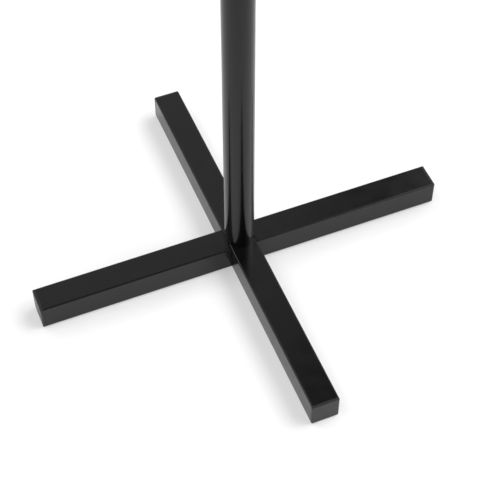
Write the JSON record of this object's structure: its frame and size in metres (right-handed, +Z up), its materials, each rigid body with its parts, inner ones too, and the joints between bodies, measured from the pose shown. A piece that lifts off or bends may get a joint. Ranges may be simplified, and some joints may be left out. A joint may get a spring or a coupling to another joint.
{
  "type": "standing coat rack",
  "caption": "Free-standing coat rack: a cross base of black square tube, a slim round post and tiers of curved hooks with ball tips.",
  "frame": {"origin": "on the floor, under the middle of the cross base, on the post's axis", "axes": "+Z up along the post; +X and +Y along the lower and upper crossbars; -Y is the front"},
  "size_m": [0.46, 0.46, 1.75],
  "materials": {
    "black_paint": "smooth semi-gloss black powder coat",
    "black_plastic": "satin black moulded plastic",
    "pad_rubber": "fine-textured black foam rubber",
    "zinc_steel": "bright zinc plating"
  },
  "bodies": {
    "root": {"crossbar_lower": "black_paint", "crossbar_upper": "black_paint", "end_cap_right": "black_plastic", "end_cap_back": "black_plastic", "end_cap_left": "black_plastic", "end_cap_front": "black_plastic", "foot_pad_right": "pad_rubber", "foot_pad_back": "pad_rubber", "foot_pad_left": "pad_rubber", "foot_pad_front": "pad_rubber", "recessed_washer": "zinc_steel", "lock_washer": "zinc_steel", "base_bolt": "zinc_steel", "spacer_sleeve": "zinc_steel", "post_foot_nut": "zinc_steel", "post_lower": "black_paint", "post_middle": "black_paint", "post_upper": "black_paint", "joint_1_lower_insert": "zinc_steel", "joint_1_upper_insert": "zinc_steel", "joint_1_stud": "zinc_steel", "joint_2_lower_insert": "zinc_steel", "joint_2_upper_insert": "zinc_steel", "joint_2_stud": "zinc_steel", "top_cap": "black_plastic", "upper_hook_hub": "zinc_steel", "upper_hook_right_rod": "black_paint", "upper_hook_right_ferrule": "black_plastic", "upper_hook_right_tip": "black_plastic", "upper_hook_back_rod": "black_paint", "upper_hook_back_ferrule": "black_plastic", "upper_hook_back_tip": "black_plastic", "upper_hook_left_rod": "black_paint", "upper_hook_left_ferrule": "black_plastic", "upper_hook_left_tip": "black_plastic", "upper_hook_front_rod": "black_paint", "upper_hook_front_ferrule": "black_plastic", "upper_hook_front_tip": "black_plastic", "lower_hook_hub": "zinc_steel", "lower_hook_right_rod": "black_paint", "lower_hook_right_ferrule": "black_plastic", "lower_hook_right_tip": "black_plastic", "lower_hook_back_rod": "black_paint", "lower_hook_back_ferrule": "black_plastic", "lower_hook_back_tip": "black_plastic", "lower_hook_left_rod": "black_paint", "lower_hook_left_ferrule": "black_plastic", "lower_hook_left_tip": "black_plastic", "lower_hook_front_rod": "black_paint", "lower_hook_front_ferrule": "black_plastic", "lower_hook_front_tip": "black_plastic"}
  },
  "joints": []
}
